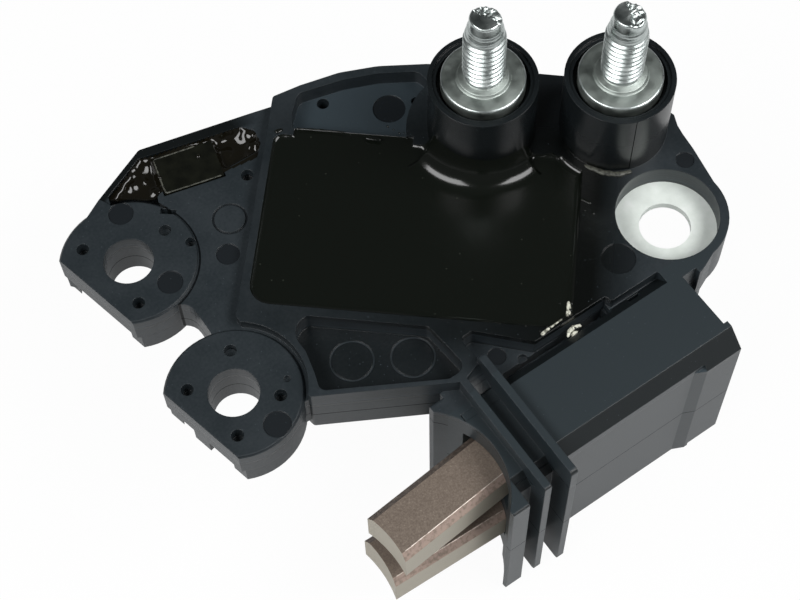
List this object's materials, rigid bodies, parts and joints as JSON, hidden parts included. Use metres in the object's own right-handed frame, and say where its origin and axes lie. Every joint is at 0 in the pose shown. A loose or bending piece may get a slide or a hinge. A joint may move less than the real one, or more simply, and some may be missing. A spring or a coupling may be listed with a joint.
{
  "type": "alternator voltage regulator",
  "caption": "Alternator voltage regulator: eared black plate with a resin-filled bay, threaded stud turrets, a ground ring and a brush box with sprung carbon brushes.",
  "frame": {"origin": "centre of the ground ring's hole, on the ring's underside", "axes": "+X along the brush travel, from the brush tips to the closed end of the brush box; +Z along the threaded studs, away from the seat under the ears; +Y completes the right-handed frame, from the brush box towards the ears and studs"},
  "size_m": [0.0703, 0.0641, 0.0483],
  "materials": {
    "moulding": "satin black glass-filled moulding",
    "resin": "glossy black potting resin",
    "brown_resin": "glossy brownish black resin",
    "component": "dipped film component",
    "zinc": "bright zinc plate",
    "ring_metal": "matt tin plate",
    "heat_sink": "rolled",
    "board": "solder mask",
    "chip": "moulded",
    "copper": "bare copper",
    "carbon": "pressed carbon with copper",
    "spring_steel": "drawn wire"
  },
  "bodies": {
    "regulator": {"housing": "moulding", "brush_box_cap": "moulding", "potting_resin": "resin", "capacitor_resin": "brown_resin", "filter_capacitor": "component", "stud_left": "zinc", "stud_right": "zinc", "ground_ring": "ring_metal", "heat_sink_plate": "heat_sink", "circuit_board": "board", "control_chip": "chip", "freewheel_diode": "chip", "stud_strip_left": "copper", "stud_strip_right": "copper", "upper_brush_terminal": "copper", "lower_brush_terminal": "copper", "upper_spring": "spring_steel", "lower_spring": "spring_steel"},
    "upper_brush_body": {"upper_brush": "carbon", "upper_brush_lead": "copper"},
    "lower_brush_body": {"lower_brush": "carbon", "lower_brush_lead": "copper"}
  },
  "joints": [
    {"name": "upper_brush_slide", "type": "slide", "parent": "regulator", "child": "upper_brush_body", "axis": [1, 0, 0], "range_m": [0, 0.008], "stiffness_N_per_m": 120, "springref_m": -0.02, "deforming": ["upper_spring", "upper_brush_lead"]},
    {"name": "lower_brush_slide", "type": "slide", "parent": "regulator", "child": "lower_brush_body", "axis": [1, 0, 0], "range_m": [0, 0.008], "stiffness_N_per_m": 120, "springref_m": -0.02, "deforming": ["lower_spring", "lower_brush_lead"]}
  ]
}
